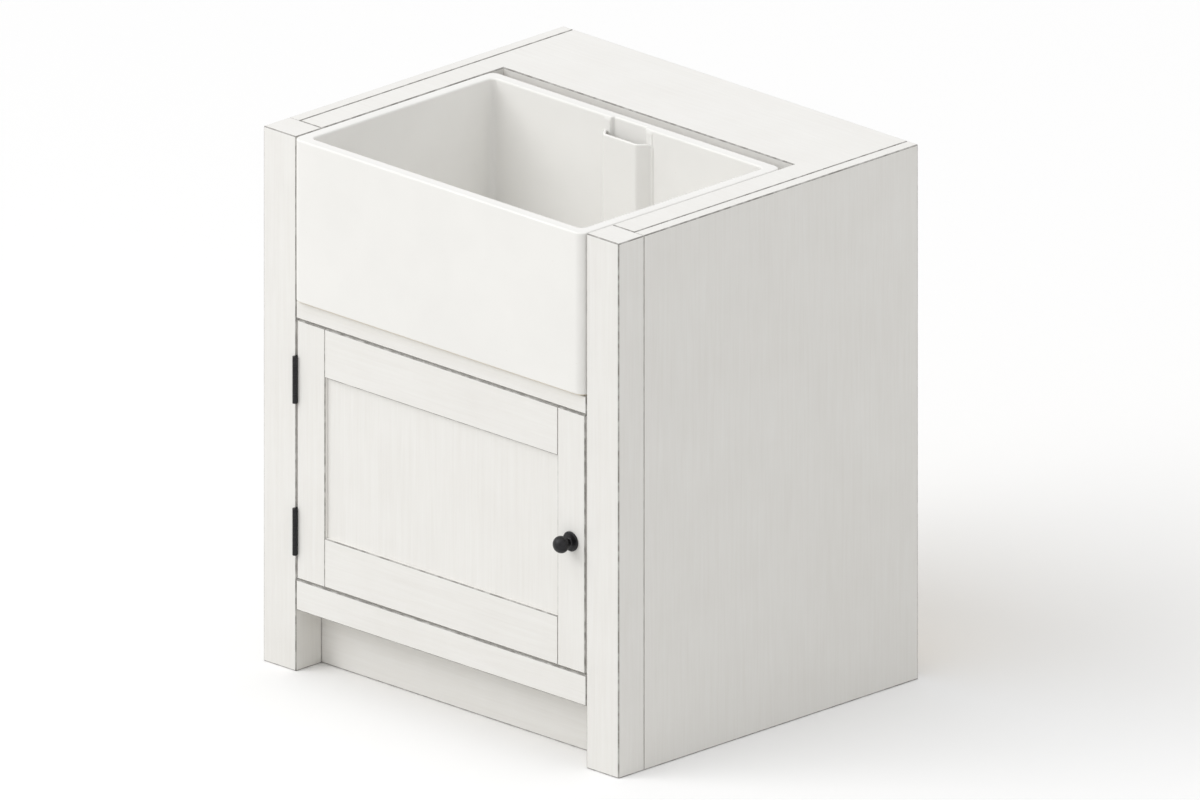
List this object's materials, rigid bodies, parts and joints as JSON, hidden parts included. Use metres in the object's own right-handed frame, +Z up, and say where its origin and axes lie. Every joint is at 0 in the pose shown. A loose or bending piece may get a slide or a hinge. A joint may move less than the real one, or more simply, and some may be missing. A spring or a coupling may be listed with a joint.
{
  "type": "sink base cabinet",
  "caption": "Painted timber sink base cabinet with corner posts, a framed inset door on butt hinges and a fireclay sink with a weir overflow, to stand against a wall.",
  "frame": {"origin": "on the floor, under the middle of the cabinet's box with the door closed", "axes": "+Z up, +X to the right as seen from the front, +Y from the door to the wall"},
  "size_m": [0.77, 0.684, 0.87],
  "materials": {
    "painted_timber": "white eggshell paint on timber",
    "birch_plywood": "clear lacquered birch plywood",
    "bare_timber": "planed bare softwood",
    "glazed_fireclay": "white gloss glaze",
    "black_iron": "black wax",
    "plain_steel": "bright zinc",
    "white_plastic": "moulded satin"
  },
  "bodies": {
    "carcass": {"left_post": "painted_timber", "right_post": "painted_timber", "left_side_panel": "painted_timber", "right_side_panel": "painted_timber", "top_board": "painted_timber", "sink_rail": "painted_timber", "bottom_rail": "painted_timber", "plinth_board": "painted_timber", "door_stop": "painted_timber", "base_panel": "birch_plywood", "back_panel": "birch_plywood", "left_plinth_block": "bare_timber", "right_plinth_block": "bare_timber", "left_top_cleat": "bare_timber", "right_top_cleat": "bare_timber", "left_bearer_cleat": "bare_timber", "right_bearer_cleat": "bare_timber", "left_sink_bearer": "bare_timber", "right_sink_bearer": "bare_timber", "rear_sink_rail": "bare_timber", "rear_base_rail": "bare_timber", "upper_back_rail": "bare_timber", "sink": "glazed_fireclay", "catch_body": "white_plastic", "catch_magnet": "plain_steel", "catch_screw_1": "plain_steel", "catch_screw_2": "plain_steel", "upper_hinge_frame_leaf": "black_iron", "upper_hinge_pin": "black_iron", "upper_hinge_frame_screw_1": "black_iron", "upper_hinge_frame_screw_2": "black_iron", "upper_hinge_frame_screw_3": "black_iron", "lower_hinge_frame_leaf": "black_iron", "lower_hinge_pin": "black_iron", "lower_hinge_frame_screw_1": "black_iron", "lower_hinge_frame_screw_2": "black_iron", "lower_hinge_frame_screw_3": "black_iron"},
    "door": {"door_hinge_stile": "painted_timber", "door_lock_stile": "painted_timber", "door_top_rail": "painted_timber", "door_bottom_rail": "painted_timber", "door_panel": "painted_timber", "upper_hinge_door_leaf": "black_iron", "upper_hinge_door_screw_1": "black_iron", "upper_hinge_door_screw_2": "black_iron", "upper_hinge_door_screw_3": "black_iron", "lower_hinge_door_leaf": "black_iron", "lower_hinge_door_screw_1": "black_iron", "lower_hinge_door_screw_2": "black_iron", "lower_hinge_door_screw_3": "black_iron", "knob": "black_iron", "knob_rosette": "black_iron", "knob_bolt": "plain_steel", "strike_plate": "plain_steel", "strike_screw": "plain_steel"}
  },
  "joints": [
    {"name": "door_hinge", "type": "hinge", "parent": "carcass", "child": "door", "pos_m": [-0.3135, -0.3115, 0.3625], "axis": [0, 0, -1], "range_deg": [0, 180]}
  ]
}
